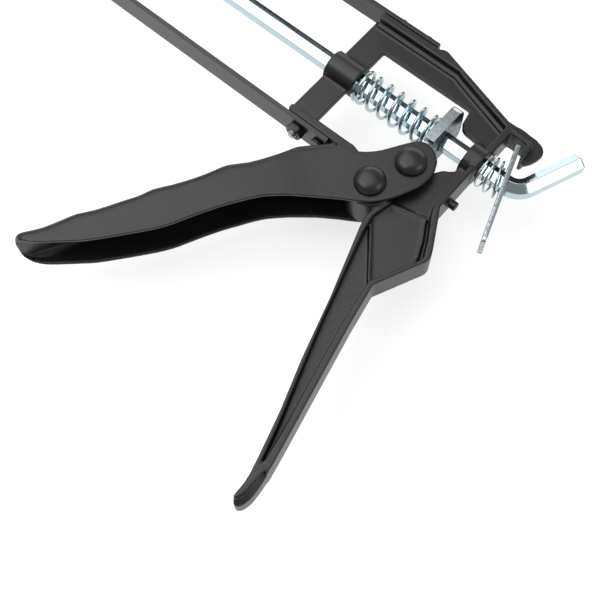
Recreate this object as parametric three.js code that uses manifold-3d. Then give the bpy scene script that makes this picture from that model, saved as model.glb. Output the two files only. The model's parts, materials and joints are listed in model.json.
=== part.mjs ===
// Skeleton caulking gun: die-cast frame and handle, pressed trigger, two flat straps,
// front plate, hexagonal push rod with bent tail, drive plate, release lever and two springs.
// Millimetres, +Z up. The gun lies on its right side: muzzle towards -X, top towards +Y.
// The drawing frame has its origin on the rod axis at the front face of the front boss.
import * as THREE from "three";
import { mergeVertices } from "three/addons/utils/BufferGeometryUtils.js";
import Module from "manifold-3d";

// ---- driving dimensions ----
const GAP = 0.3;
const ROD_ACROSS_FLATS = 7;
const ROD_FRONT_X = -221.5;
const ROD_BEND_X = 87.9;
const ROD_BEND_RADIUS = 8;
const ROD_BEND_DEG = 68;
const ROD_TAIL_LENGTH = 23.4;
const ROD_CHAMFER = 0.9;
const STRAP_WIDTH = 10.5;
const STRAP_THICKNESS = 2;
const STRAP_BEND_RADIUS = 3.2;
const STRAP_TAB_LENGTH = 13;
const STRAP_RIVET_INSET = 5.2;
const UPPER_RAIL_Y = 31;
const LOWER_RAIL_Y = -30.3;
const UPPER_STRAP_END_X = 30.3;
const LOWER_STRAP_END_X = 24.2;
const PLATE_FRONT_X = -231;
const PLATE_THICKNESS = 2.5;
const PLATE_WIDTH = 52;
const PLATE_CORNER = 14;
const PLATE_CORNER_MIDDLE = [4, 4.5];
const NOZZLE_SLOT_WIDTH = 21;
const NOZZLE_SLOT_LEAD_IN = 3;
const FRAME_HALF = 5.25;
const FRAME_WEB_HALF = 1.1;
const FRAME_BEAD_HALF = 2.3;
const HANDLE_HALF = 6.2;
const HANDLE_WEB_HALF = 2.4;
const LUG_HALF = 2.9;
const PANEL_HALF = 3.5;
const PANEL_BEAD_HALF = 3.9;
const PANEL_GROOVE_HALF = 1.9;
const TIP_STEP_HALF = 4.6;
const LINK_HALF = 3.6;
const FRONT_BOSS_RADIUS = 6.7;
const FRONT_BOSS_X = [0.8, 15.2];
const REAR_BOSS_RADIUS = 7.45;
const REAR_BOSS_X = [69.2, 76.2];
const POST_X = [73.7, 76.9];
const PIVOT = [49.8, -36.9];
const DRIVE_PIN = [56.4, -20.4];
const PIVOT_BOSS_RADIUS = 9.4;
const THROUGH = 12;
const PIVOT_SHANK_RADIUS = 3.2;
const DRIVE_SHANK_RADIUS = 2.4;
const RIVET_HEAD_RADIUS = 6.25;
const RIVET_HEAD_HEIGHT = 3.6;
const ROLLER_RADIUS = 3.4;
const ROLLER_HALF = 6.6;
const TRIGGER_WALL = 1.5;
const EAR_HALF = 8.85;
const GRIP_HALF = 10.2;
const TRIGGER_BEND_RADIUS = 4.2;
const STATION_STEPS = 2;
const DRIVE_PLATE_X = [53.6, 57.9];
const DRIVE_PLATE_TOP_Y = 12;
const DRIVE_PLATE_HALF = 9.8;
const DRIVE_SHOULDER_Y = -8.2;
const DRIVE_TONGUE_HALF = 6;
const MAIN_SPRING_OD = 14.8;
const MAIN_SPRING_WIRE = 1.5;
const MAIN_SPRING_CLOSED_TURNS = 1.1;
const MAIN_SPRING_ACTIVE_TURNS = 5.8;
const MAIN_SPRING_PHASE = 0.33;
const MAIN_SPRING_CLEAR = 1.1;
const RELEASE_SPRING_OD = 14.6;
const RELEASE_SPRING_WIRE = 0.9;
const RELEASE_SPRING_CLOSED_TURNS = 0.5;
const RELEASE_SPRING_ACTIVE_TURNS = 2;
const RELEASE_SPRING_PHASE = 0.96;
const RELEASE_SPRING_CLEAR = 2.2;
const LEVER_TOP = [82.4, 14.4];
const LEVER_LEAN_DEG = 18.8;
const LEVER_LENGTH = 45.4;
const LEVER_THICKNESS = 2;
const LEVER_HALF = 6;
const LEVER_HOLE_AT = 15;
const LEVER_HOLE_LENGTH = 10.2;
const LEVER_HOLE_WIDTH = 8.8;
const PUSHER_X = [-217.5, -212];
const PUSHER_RADIUS = 21.5;
const PUSHER_WALL = 1.5;
const PUSHER_SLOPE = 4.4;
const PUSHER_RIM = 1.6;
const WASHER_RADIUS = 8;
const WASHER_THICKNESS = 2;
const ROD_NUT_CORNER = 6.9;
const ROD_NUT_HEIGHT = 4.4;
const UPPER_PIN_X = [10.3, 23.4];
const LOWER_STUD_X = 9.8;
const LOWER_RIVET_X = 20.5;
const STUD_RADIUS = 1.9;
const STUD_DEPTH = 2.5;
const PIN_PROUD = 3;
const STUD_PROUD = 4.4;
const NUT_ACROSS_FLATS = 7;
const NUT_HEIGHT = 2.6;
const STRAP_RIVET_HEAD = [3, 1.2];
const FRONT_RIVET = { shank: 2, head: 4, height: 1.6 };
const PEG_RADIUS = 1.9;
const PEG_X = [74.5, 79.4];
const PEG_Y = -20.2;

// Sides of the round pieces.
const BORE_SIDES = 24;
const PIN_SIDES = 16;
const BOSS_SIDES = 36;
const BEND_STEPS = 6;

// ---- derived values ----
const HEX_CORNER = ROD_ACROSS_FLATS / Math.sqrt(3);
const BORE_RADIUS = HEX_CORNER + GAP;
const HALF_STRAP = STRAP_WIDTH / 2;
const UPPER_STRAP_Y = UPPER_RAIL_Y + GAP;
const LOWER_STRAP_Y = LOWER_RAIL_Y - GAP;
const EAR_INNER = EAR_HALF - TRIGGER_WALL;
const PLATE_BACK_X = PLATE_FRONT_X + PLATE_THICKNESS;
const LOWER_HOLE_X = [LOWER_STUD_X, LOWER_RIVET_X];
const rad = (degrees) => (degrees * Math.PI) / 180;

const wasm = await Module();
wasm.setup();

// ---- finishes ----
const finish = (color, roughness, metalness) => ({ color, roughness, metalness });
const BLACK_PAINT = finish(0x343333, 0.45, 0.2);
const ZINC = finish(0xc9d2d8, 0.28, 0.9);
const GREY_STEEL = finish(0x8d969c, 0.35, 0.9);

// ---- solids ----
// A three.js geometry as a manifold solid.
function solid(geometry) {
  const bare = new THREE.BufferGeometry();
  const flat = geometry.index ? geometry.toNonIndexed() : geometry;
  bare.setAttribute("position", flat.getAttribute("position"));
  const merged = mergeVertices(bare, 1e-4);
  const vertProperties = new Float32Array(merged.attributes.position.array);
  const triVerts = new Uint32Array(merged.index.array);
  return new wasm.Manifold(new wasm.Mesh({ numProp: 3, vertProperties, triVerts }));
}

// A manifold solid as a three.js geometry.
function geometryOf(manifold) {
  const mesh = manifold.getMesh();
  const position = new THREE.BufferAttribute(new Float32Array(mesh.vertProperties), 3);
  const indexed = new THREE.BufferGeometry().setAttribute("position", position);
  indexed.setIndex(new THREE.BufferAttribute(new Uint32Array(mesh.triVerts), 1));
  const geometry = indexed.toNonIndexed();
  geometry.computeVertexNormals();
  return geometry;
}

const counterClockwise = (points) => {
  const vectors = points.map(([x, y]) => new THREE.Vector2(x, y));
  return THREE.ShapeUtils.area(vectors) < 0 ? vectors.reverse() : vectors;
};

// A flat outline in X and Y, pulled up from z = low to z = high.
function slab(points, low, high) {
  const shape = new THREE.Shape(counterClockwise(points));
  const geometry = new THREE.ExtrudeGeometry(shape, { depth: high - low, bevelEnabled: false });
  geometry.translate(0, 0, low);
  return solid(geometry);
}

const evenSlab = (points, half) => slab(points, -half, half);

// A smooth line through a few points of an outline.
function curve(points, steps) {
  const spline = new THREE.SplineCurve(points.map(([x, y]) => new THREE.Vector2(x, y)));
  return spline.getPoints(steps).map(({ x, y }) => [x, y]);
}

// A round bar along X, Y or Z, from one end to the other.
function bar(axis, centre, radius, from, to, sides = 32) {
  const geometry = new THREE.CylinderGeometry(radius, radius, to - from, sides);
  const middle = (from + to) / 2;
  if (axis === "x") {
    geometry.rotateZ(-Math.PI / 2).translate(middle, centre[0], centre[1]);
  } else if (axis === "y") {
    geometry.translate(centre[0], middle, centre[1]);
  } else {
    geometry.rotateX(Math.PI / 2).translate(centre[0], centre[1], middle);
  }
  return solid(geometry);
}

const rodBore = (from, to) => bar("x", [0, 0], BORE_RADIUS, from, to, BORE_SIDES);
const crossHole = (centre, shank) => {
  return bar("z", centre, shank + GAP, -THROUGH, THROUGH, BORE_SIDES);
};
const studHole = (x, from, to) => bar("y", [x, 0], STUD_RADIUS + GAP, from, to, PIN_SIDES);

const join = (...solids) => solids.reduce((sum, next) => sum.add(next));
const cut = (base, ...tools) => tools.reduce((left, tool) => left.subtract(tool), base);

// A skin through rings of equal point count, closed by a flat cap at each end.
function loft(rings, capOutline) {
  const count = rings[0].length;
  const flat = capOutline.map(([x, y]) => new THREE.Vector2(x, y));
  const caps = THREE.ShapeUtils.triangulateShape(flat, []);
  const position = rings.flat(2);
  const index = [];
  for (let i = 0; i + 1 < rings.length; i += 1) {
    for (let j = 0; j < count; j += 1) {
      const a = i * count + j;
      const b = i * count + ((j + 1) % count);
      index.push(a, b, a + count);
      index.push(b, b + count, a + count);
    }
  }
  const last = (rings.length - 1) * count;
  for (const [a, b, c] of caps) {
    index.push(a, c, b);
    index.push(last + a, last + b, last + c);
  }
  const geometry = new THREE.BufferGeometry();
  geometry.setAttribute("position", new THREE.Float32BufferAttribute(position, 3));
  geometry.setIndex(index);
  const skin = solid(geometry);
  if (skin.volume() > 0) {
    return skin;
  }
  const turned = [];
  for (let i = 0; i < index.length; i += 3) {
    turned.push(index[i], index[i + 2], index[i + 1]);
  }
  geometry.setIndex(turned);
  return solid(geometry);
}

// ---- the group ----
const group = new THREE.Group();
group.name = "caulking_gun";
const gun = new THREE.Group();
gun.name = "gun";
group.add(gun);

function piece(name, shape, look) {
  const geometry = shape.getMesh ? geometryOf(shape) : shape;
  const mesh = new THREE.Mesh(geometry, new THREE.MeshStandardMaterial(look));
  mesh.name = name;
  gun.add(mesh);
  return mesh;
}

// ---- die-cast frame and handle ----
const RAIL = [
  [2.5, 27.6],
  [2.5, UPPER_RAIL_Y],
  [31.4, UPPER_RAIL_Y],
  [33.2, 32.1],
  [34.8, 32.2],
  [73.3, 21],
  [75.9, 18.9],
  [85.6, 18.7],
  [86.8, 18],
  [87.3, 13.1],
  [86.9, 11.6],
  [85.6, 11.4],
  [85.2, 14],
  [84.9, 17],
  [POST_X[1], 17.2],
  [POST_X[1], 5.8],
  [POST_X[0], 5.8],
  [POST_X[0], 18.2],
  [46.6, 26.3],
  [44.2, 27.4],
];
const UPPER_WEB = [
  [13.4, 17.7],
  [55.4, 17.7],
  [56.9, 17.5],
  [57.6, 16.6],
  [58.2, 13.2],
  [58.5, 11.4],
  [60.2, 8.9],
  [62.3, 8],
  [69.6, 7.3],
  [75, 7],
  [75, 19],
  [46.6, 27.4],
  [44.2, 28.4],
  [13.4, 28.4],
];
const UPPER_BEAD = [
  [3, 27.8],
  [3, 25.7],
  [43.8, 25.7],
  [46.1, 24.8],
  [73, 16.6],
  [73.6, 18.4],
  [46.6, 26.6],
  [44.2, 27.8],
];
const NOSE_WEB = [
  [66, 22.6],
  [72.5, 23.7],
  [79.6, 24],
  ...curve([[85.5, 23.6], [89.3, 22.3], [91.3, 19.4], [90.4, 14.6], [88.3, 11.2]], 16),
  [86.4, 11.9],
  [86.2, 18.2],
  [75, 19.2],
  [72, 20.4],
];
const BAR = [
  [1.5, -29],
  [1.5, 28.4],
  [13.7, 28.4],
  [13.7, -29],
];
const LOWER_RAIL = [
  [4.1, -26.7],
  [33.7, -26.5],
  [37, -27.4],
  [47, -29.5],
  [44, -34],
  [37, LOWER_RAIL_Y],
  [3.4, LOWER_RAIL_Y],
  [2.6, -29],
  [2.7, -27.5],
];
const LOWER_WEB = [
  [30, -28],
  [37, -27.6],
  [47, -29],
  [47, -40],
  [38, -33],
  [34, -29.7],
];
const HANDLE_OUTLINE = [
  [73.4, -5],
  [75.9, -5],
  [75.9, -26.7],
  ...curve([[84.4, -42.1], [86.3, -46.8], [84.8, -51]], 8),
  [76.9, -68.1],
  ...curve([[80.2, -85], [86.1, -111.2], [91.6, -135.5], [94, -147.4], [94.7, -153.5]], 10),
  ...curve([[94.7, -155.8], [93.8, -159.2], [91.8, -160.6], [89.6, -158.4]], 9),
  ...curve([[89.5, -153.6], [88.4, -146.8], [82.3, -126]], 5),
  [75.4, -106.2],
  [68.1, -82.1],
  ...curve([[58.2, -53.4], [56.9, -48], [57.5, -42.4], [60.2, -33.6]], 9),
  [61.4, -26],
  ...curve([[62.3, -19.4], [64, -15.5], [66.4, -12.1], [68.2, -11]], 6),
  [70, -9.4],
  [70.4, -5],
];
const HANDLE_POCKET = [
  [60.8, -36.8],
  [75.2, -31.4],
  [80.9, -40.9],
  [84.1, -47.6],
  [83.7, -49.7],
  [74.7, -67.9],
  [77.3, -85],
  [83.2, -111.2],
  [87.8, -130.6],
  [89.6, -140.6],
  [90.2, -146.4],
  [88.9, -142.8],
  [85.8, -132.2],
  [71.8, -91],
  [60.2, -53],
  [58.9, -45.7],
];
const LUG_POCKET = [
  [55, -33],
  [60, -20],
  [63, -4],
  [73.6, -4],
  [73.9, -28],
  [75.2, -31.4],
  [60.8, -36.8],
  [54, -45],
];
const PANEL = [
  [57.6, -46.2],
  [60.6, -36.2],
  [75.3, -32.8],
  [75.3, -34.3],
  [79.2, -41],
  [82.3, -48.2],
  [83.4, -50.8],
  [75.8, -68.8],
  [73.9, -67.6],
];
const PANEL_TOP_BEAD = [
  [60.6, -36.2],
  [75.3, -32.8],
  [75.3, -34],
  [60.8, -37.4],
];
const PANEL_SIDE_BEAD = [
  [75.3, -33.6],
  [75.3, -34.3],
  [79.2, -41],
  [82.3, -48.2],
  [81.4, -48.5],
  [78.2, -41.5],
  [74.2, -34.6],
];
const PANEL_FRONT_BEAD = [
  [57.6, -46.2],
  [59, -46.6],
  [75, -67.2],
  [73.9, -67.6],
];
const PANEL_GROOVE = [
  [75.3, -32.8],
  [75.2, -31.4],
  [80.9, -40.9],
  [84.1, -47.6],
  [83.7, -49.7],
  [82.3, -48.2],
  [79.2, -41],
  [75.3, -34.3],
];
const TIP_STEP = [
  [92.2, -144],
  [96, -150],
  [96, -164],
  [88, -164],
  [88.6, -158.6],
  [90.9, -158.8],
  [91.9, -158],
  [92.7, -155.4],
  [92.7, -151.4],
];

// Tools that take the same outline off both sides of the handle, down to half its thickness.
function sunk(points, half) {
  return [slab(points, half, HANDLE_HALF + 1), slab(points, -HANDLE_HALF - 1, -half)];
}

function bodyCasting() {
  const handle = cut(
    evenSlab(HANDLE_OUTLINE, HANDLE_HALF),
    ...sunk(HANDLE_POCKET, HANDLE_WEB_HALF),
    ...sunk(LUG_POCKET, LUG_HALF),
    ...sunk(TIP_STEP, TIP_STEP_HALF),
  );
  const panelled = join(
    handle,
    evenSlab(PANEL, PANEL_HALF),
    evenSlab(PANEL_TOP_BEAD, PANEL_BEAD_HALF),
    evenSlab(PANEL_SIDE_BEAD, PANEL_BEAD_HALF),
    evenSlab(PANEL_FRONT_BEAD, PANEL_BEAD_HALF),
  );
  const body = join(
    evenSlab(RAIL, FRAME_HALF),
    evenSlab(UPPER_WEB, FRAME_WEB_HALF),
    evenSlab(UPPER_BEAD, FRAME_BEAD_HALF),
    evenSlab(NOSE_WEB, FRAME_WEB_HALF),
    evenSlab(BAR, FRAME_WEB_HALF),
    evenSlab(LOWER_RAIL, FRAME_HALF),
    evenSlab(LOWER_WEB, LINK_HALF),
    cut(panelled, ...sunk(PANEL_GROOVE, PANEL_GROOVE_HALF)),
    bar("z", PIVOT, PIVOT_BOSS_RADIUS, -EAR_INNER + GAP, EAR_INNER - GAP, BOSS_SIDES),
    bar("x", [0, 0], FRONT_BOSS_RADIUS, ...FRONT_BOSS_X, BOSS_SIDES),
    bar("x", [0, 0], REAR_BOSS_RADIUS, ...REAR_BOSS_X, BOSS_SIDES),
    bar("x", [PEG_Y, 0], PEG_RADIUS, ...PEG_X, PIN_SIDES),
  );
  const upperHole = UPPER_RAIL_Y - STUD_DEPTH - GAP;
  const lowerHole = LOWER_RAIL_Y + STUD_DEPTH + GAP;
  return cut(
    body,
    rodBore(FRONT_BOSS_X[0] - GAP, POST_X[1] + GAP),
    crossHole(PIVOT, PIVOT_SHANK_RADIUS),
    ...UPPER_PIN_X.map((x) => studHole(x, upperHole, UPPER_RAIL_Y + GAP)),
    ...LOWER_HOLE_X.map((x) => studHole(x, LOWER_RAIL_Y - GAP, lowerHole)),
  );
}
piece("body_casting", bodyCasting(), BLACK_PAINT);

// ---- straps: flat strips bent inwards at the front ----
const rivetHoleAt = (y, from, to) => {
  return bar("x", [y, 0], FRONT_RIVET.shank + GAP, from, to, PIN_SIDES);
};

function strap(side, insideY, endX, holeXs) {
  const outsideY = insideY + side * STRAP_THICKNESS;
  const front = PLATE_FRONT_X - GAP - STRAP_THICKNESS;
  const outerRadius = STRAP_BEND_RADIUS + STRAP_THICKNESS;
  const centre = [front + outerRadius, outsideY - side * outerRadius];
  const arc = (radius, reverse) => {
    const points = [];
    for (let i = 0; i <= BEND_STEPS; i += 1) {
      const share = i / BEND_STEPS;
      const turn = rad(90 * (reverse ? 1 - share : share));
      const x = centre[0] - radius * Math.cos(turn);
      points.push([x, centre[1] + side * radius * Math.sin(turn)]);
    }
    return points;
  };
  const tabY = outsideY - side * STRAP_TAB_LENGTH;
  const outline = [
    [front, tabY],
    ...arc(outerRadius, false),
    [endX, outsideY],
    [endX, insideY],
    ...arc(STRAP_BEND_RADIUS, true),
    [front + STRAP_THICKNESS, tabY],
  ];
  const rivetY = tabY + side * STRAP_RIVET_INSET;
  const lowest = Math.min(insideY, outsideY) - GAP;
  const highest = Math.max(insideY, outsideY) + GAP;
  const holes = holeXs.map((x) => studHole(x, lowest, highest));
  const rivetHole = rivetHoleAt(rivetY, front - GAP, front + STRAP_THICKNESS + GAP);
  return { shape: cut(evenSlab(outline, HALF_STRAP), ...holes, rivetHole), rivetY };
}
const upperStrap = strap(1, UPPER_STRAP_Y, UPPER_STRAP_END_X, UPPER_PIN_X);
const lowerStrap = strap(-1, LOWER_STRAP_Y, LOWER_STRAP_END_X, LOWER_HOLE_X);
piece("upper_strap", upperStrap.shape, BLACK_PAINT);
piece("lower_strap", lowerStrap.shape, BLACK_PAINT);

// ---- front plate with a nozzle slot open at the left side ----
// The outline is drawn with its first direction along Z and its second along Y.
function frontPlate() {
  const top = UPPER_STRAP_Y - 2;
  const bottom = LOWER_STRAP_Y + 2;
  const half = PLATE_WIDTH / 2;
  const slotHalf = NOZZLE_SLOT_WIDTH / 2;
  const [across, along] = PLATE_CORNER_MIDDLE;
  const outline = [
    [half, slotHalf + NOZZLE_SLOT_LEAD_IN],
    [half, top - PLATE_CORNER],
    [half - across, top - along],
    [half - PLATE_CORNER, top],
    [-half + PLATE_CORNER, top],
    [-half + across, top - along],
    [-half, top - PLATE_CORNER],
    [-half, bottom + PLATE_CORNER],
    [-half + across, bottom + along],
    [-half + PLATE_CORNER, bottom],
    [half - PLATE_CORNER, bottom],
    [half - across, bottom + along],
    [half, bottom + PLATE_CORNER],
    [half, -slotHalf - NOZZLE_SLOT_LEAD_IN],
    [half - NOZZLE_SLOT_LEAD_IN, -slotHalf],
  ];
  for (let i = 0; i <= 15; i += 1) {
    const turn = rad(-90 - i * 12);
    outline.push([slotHalf * Math.cos(turn), slotHalf * Math.sin(turn)]);
  }
  outline.push([half - NOZZLE_SLOT_LEAD_IN, slotHalf]);
  const plate = evenSlab(outline, PLATE_THICKNESS / 2).rotate([0, -90, 0]);
  const placed = plate.translate([PLATE_FRONT_X + PLATE_THICKNESS / 2, 0, 0]);
  const hole = (y) => rivetHoleAt(y, PLATE_FRONT_X - GAP, PLATE_BACK_X + GAP);
  return cut(placed, hole(upperStrap.rivetY), hole(lowerStrap.rivetY));
}

piece("front_plate", frontPlate(), BLACK_PAINT);

// A rivet with a domed head at each end, as a profile turned about its axis.
function rivet(shank, head, height, halfGrip) {
  const dome = (sign) => {
    const points = [];
    for (let i = 0; i <= 4; i += 1) {
      const turn = rad(i * 22.5);
      const z = halfGrip + height * Math.sin(turn);
      points.push(new THREE.Vector2(head * Math.cos(turn), sign * z));
    }
    return points;
  };
  const lower = dome(-1).reverse();
  lower[0].x = 0;
  const upper = dome(1);
  upper[upper.length - 1].x = 0;
  const profile = [
    ...lower,
    new THREE.Vector2(shank, -halfGrip),
    new THREE.Vector2(shank, halfGrip),
    ...upper,
  ];
  return new THREE.LatheGeometry(profile, BORE_SIDES);
}

function placedAlongZ(geometry, centre) {
  return geometry.rotateX(Math.PI / 2).translate(centre[0], centre[1], 0);
}

const stripMiddleX = PLATE_FRONT_X - GAP - STRAP_THICKNESS;
for (const [name, y] of [
  ["front_rivet_upper", upperStrap.rivetY],
  ["front_rivet_lower", lowerStrap.rivetY],
]) {
  const halfGrip = (PLATE_BACK_X - stripMiddleX) / 2 + GAP;
  const { shank, head, height } = FRONT_RIVET;
  const shape = rivet(shank, head, height, halfGrip).rotateZ(Math.PI / 2);
  shape.translate((PLATE_BACK_X + stripMiddleX) / 2, y, 0);
  piece(name, solid(shape), BLACK_PAINT);
}

// ---- pins, stud, nut and rivet that hold the straps to the frame ----
const upperSeat = UPPER_STRAP_Y + STRAP_THICKNESS;
const lowerSeat = LOWER_STRAP_Y - STRAP_THICKNESS;
UPPER_PIN_X.forEach((x, i) => {
  const bottom = UPPER_RAIL_Y - STUD_DEPTH;
  const pin = bar("y", [x, 0], STUD_RADIUS, bottom, upperSeat + PIN_PROUD, PIN_SIDES);
  piece(`upper_pin_${i + 1}`, pin, BLACK_PAINT);
});
const studTop = LOWER_RAIL_Y + STUD_DEPTH;
const studBottom = lowerSeat - STUD_PROUD;
const lowerStud = bar("y", [LOWER_STUD_X, 0], STUD_RADIUS, studBottom, studTop, PIN_SIDES);
piece("lower_stud", lowerStud, GREY_STEEL);
const hexagon = new THREE.CylinderGeometry(1, 1, NUT_HEIGHT, 6);
hexagon.scale(NUT_ACROSS_FLATS / Math.sqrt(3), 1, NUT_ACROSS_FLATS / Math.sqrt(3));
hexagon.translate(LOWER_STUD_X, lowerSeat - GAP - NUT_HEIGHT / 2, 0);
const nutHole = studHole(LOWER_STUD_X, studBottom, studTop);
piece("lower_nut", cut(solid(hexagon), nutHole), BLACK_PAINT);
const headTop = lowerSeat - GAP;
const [headRadius, headHeight] = STRAP_RIVET_HEAD;
const lowerRivet = join(
  bar("y", [LOWER_RIVET_X, 0], STUD_RADIUS, headTop - GAP, studTop, PIN_SIDES),
  bar("y", [LOWER_RIVET_X, 0], headRadius, headTop - headHeight, headTop, BORE_SIDES),
);
piece("lower_rivet", lowerRivet, BLACK_PAINT);

// ---- trigger: pressed channel with finger grooves and two ears ----
// Each station: front point, rear edge point, half width of the channel.
const TRIGGER_STATIONS = [
  [-37.4, -140.4, -35.6, -141.4, 3.4],
  [-37.1, -139.7, -35, -141, 6.6],
  [-36.6, -138.6, -33.8, -140.2, 8.8],
  [-35.9, -137, -31.7, -139.2, 9.9],
  [-34, -133.7, -28.1, -136.9, GRIP_HALF],
  [-31.5, -129.7, -24, -133.4, GRIP_HALF],
  [-28.7, -123.6, -18.4, -128.2, GRIP_HALF],
  [-26.2, -118, -14, -124, GRIP_HALF],
  [-21.9, -112, -8.6, -117.6, GRIP_HALF],
  [-16.9, -102.9, -1.4, -108.6, GRIP_HALF],
  [-13.6, -97, 2.6, -103.2, GRIP_HALF],
  [-11.6, -91.8, 5.6, -98.2, GRIP_HALF],
  [-7.4, -85.7, 9.4, -90.4, GRIP_HALF],
  [-2.4, -77.2, 14, -81.8, GRIP_HALF],
  [0.5, -70.9, 17.4, -76.4, GRIP_HALF],
  [2.9, -65.6, 20.4, -71.6, 10.1],
  [8.2, -59.4, 24.4, -66.6, 9.9],
  [12.9, -51.5, 30.2, -61.2, 9.6],
  [15.7, -45.9, 34, -58.2, 9.3],
  [17.8, -41.4, 37.6, -55.4, 9],
  [23.1, -35.8, 41.6, -52.6, EAR_HALF],
  [27.4, -31, 45.4, -50, EAR_HALF],
];
const EAR = [
  [23.4, -44],
  [30.4, -34.6],
  ...curve([[29.6, -31], [33.3, -30.6], [37.9, -29.3], [43.4, -24.4], [48.1, -17.2]], 10),
  ...curve([[51.3, -12.4], [53.1, -10.6], [56.8, -9.5], [60.8, -10.8], [64, -13.6]], 10),
  ...curve([[65.7, -17.3], [66.1, -22], [64.8, -28.1], [60.2, -37.7], [55.6, -43.4]], 12),
  [49.6, -47.4],
  [45, -50.2],
  [41.6, -52.6],
  [37.6, -55.4],
  [30, -52],
];

// The stations as one smooth run of rings.
function smoothStations() {
  const last = TRIGGER_STATIONS.length - 1;
  const column = (k) => {
    const points = TRIGGER_STATIONS.map((station, i) => new THREE.Vector2(i, station[k]));
    return new THREE.SplineCurve(points);
  };
  const columns = [0, 1, 2, 3, 4].map(column);
  const count = last * STATION_STEPS;
  const at = (i) => columns.map((spline) => spline.getPoint(i / count).y);
  return Array.from({ length: count + 1 }, (_, i) => at(i));
}

function channelRing([fx, fy, bx, by, half]) {
  const depth = Math.hypot(bx - fx, by - fy);
  const along = [(bx - fx) / depth, (by - fy) / depth];
  const radius = Math.min(TRIGGER_BEND_RADIUS, depth * 0.6, half * 0.6);
  const section = [];
  const bend = (inner) => {
    const wall = inner ? TRIGGER_WALL : 0;
    const r = Math.max(radius - wall, 0.3);
    const base = inner ? Math.max(radius, wall + 0.3) : radius;
    const points = [];
    for (let i = 0; i <= 4; i += 1) {
      const turn = rad(i * 22.5);
      points.push([base - r * Math.sin(turn), half - base + r * Math.cos(turn)]);
    }
    return points;
  };
  const outer = bend(false);
  const inside = bend(true);
  const mirrored = (points) => points.map(([u, z]) => [u, -z]).reverse();
  section.push([depth, half], ...outer, ...mirrored(outer), [depth, -half]);
  section.push([depth, -half + TRIGGER_WALL], ...inside.map(([u, z]) => [u, -z]));
  section.push(...[...inside].reverse(), [depth, half - TRIGGER_WALL]);
  const place = ([u, z]) => [fx + along[0] * u, fy + along[1] * u, z];
  return { section, ring: section.map(place) };
}

function trigger() {
  const stations = smoothStations().map(channelRing);
  const rings = stations.map(({ ring }) => ring);
  const channel = loft(rings, stations[stations.length - 1].section);
  const ears = [slab(EAR, EAR_INNER, EAR_HALF), slab(EAR, -EAR_HALF, -EAR_INNER)];
  return cut(
    join(channel, ...ears),
    crossHole(PIVOT, PIVOT_SHANK_RADIUS),
    crossHole(DRIVE_PIN, DRIVE_SHANK_RADIUS),
  );
}
piece("trigger", trigger(), BLACK_PAINT);

const headSeat = EAR_HALF + 0.2;
const pivotRivet = rivet(PIVOT_SHANK_RADIUS, RIVET_HEAD_RADIUS, RIVET_HEAD_HEIGHT, headSeat);
piece("pivot_rivet", solid(placedAlongZ(pivotRivet, PIVOT)), BLACK_PAINT);
const driveRivet = rivet(DRIVE_SHANK_RADIUS, RIVET_HEAD_RADIUS, RIVET_HEAD_HEIGHT, headSeat);
piece("drive_rivet", solid(placedAlongZ(driveRivet, DRIVE_PIN)), BLACK_PAINT);
const roller = cut(
  bar("z", DRIVE_PIN, ROLLER_RADIUS, -ROLLER_HALF, ROLLER_HALF, 28),
  crossHole(DRIVE_PIN, DRIVE_SHANK_RADIUS),
);
piece("drive_roller", roller, GREY_STEEL);

// ---- drive plate on the rod ----
// A wide plate above the trigger's ears, cranked forward into a tongue between them.
const PLATE_PROFILE = [
  [DRIVE_PLATE_X[0], DRIVE_PLATE_TOP_Y],
  [DRIVE_PLATE_X[1], DRIVE_PLATE_TOP_Y],
  [DRIVE_PLATE_X[1], -10.4],
  [52.6, -16.6],
  [52.6, -25],
  [48.6, -25],
  [48.6, -17],
  [DRIVE_PLATE_X[0], -10.8],
];
// The plate's left half as seen along the rod, from its tongue up to its middle.
const PLATE_HALF_FACE = [
  [DRIVE_TONGUE_HALF, -30],
  [DRIVE_TONGUE_HALF, DRIVE_SHOULDER_Y],
  [DRIVE_PLATE_HALF, DRIVE_SHOULDER_Y],
  ...curve(
    [
      [DRIVE_PLATE_HALF, DRIVE_PLATE_TOP_Y - 4],
      [DRIVE_PLATE_HALF - 1.2, DRIVE_PLATE_TOP_Y - 1.2],
      [DRIVE_PLATE_HALF - 4, DRIVE_PLATE_TOP_Y],
    ],
    6,
  ),
];
const PLATE_OTHER_HALF = PLATE_HALF_FACE.map(([z, y]) => [-z, y]).reverse();
const faceTool = evenSlab([...PLATE_HALF_FACE, ...PLATE_OTHER_HALF], 80).rotate([0, 90, 0]);
const drivePlate = evenSlab(PLATE_PROFILE, DRIVE_PLATE_HALF).intersect(faceTool);
piece("drive_plate", cut(drivePlate, rodBore(DRIVE_PLATE_X[0] - 1, DRIVE_PLATE_X[1] + 1)), ZINC);

// ---- springs ----
// A wire wound about the rod. lean tips the last turn to lie along the release lever, and
// phase is the share of a turn that the wire starts past the top.
class Coil extends THREE.Curve {
  constructor(settings) {
    super();
    Object.assign(this, { closedTurns: 1, lean: 0, phase: 0 }, settings);
  }

  getPoint(t, target = new THREE.Vector3()) {
    const turns = 2 * this.closedTurns + this.activeTurns;
    const turn = t * turns;
    const closedRise = this.wire * 1.12;
    const free = this.to - this.from - 2 * this.closedTurns * closedRise;
    const pitch = free / this.activeTurns;
    const inActive = Math.min(Math.max(turn - this.closedTurns, 0), this.activeTurns);
    const inClosed = turn - inActive;
    const angle = 2 * Math.PI * (turn + this.phase);
    const y = this.radius * Math.cos(angle);
    const z = this.radius * Math.sin(angle);
    const x = this.from + inClosed * closedRise + inActive * pitch;
    const share = (x - this.from) / (this.to - this.from);
    return target.set(x - this.lean * y * share * share, y, z);
  }
}

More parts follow.
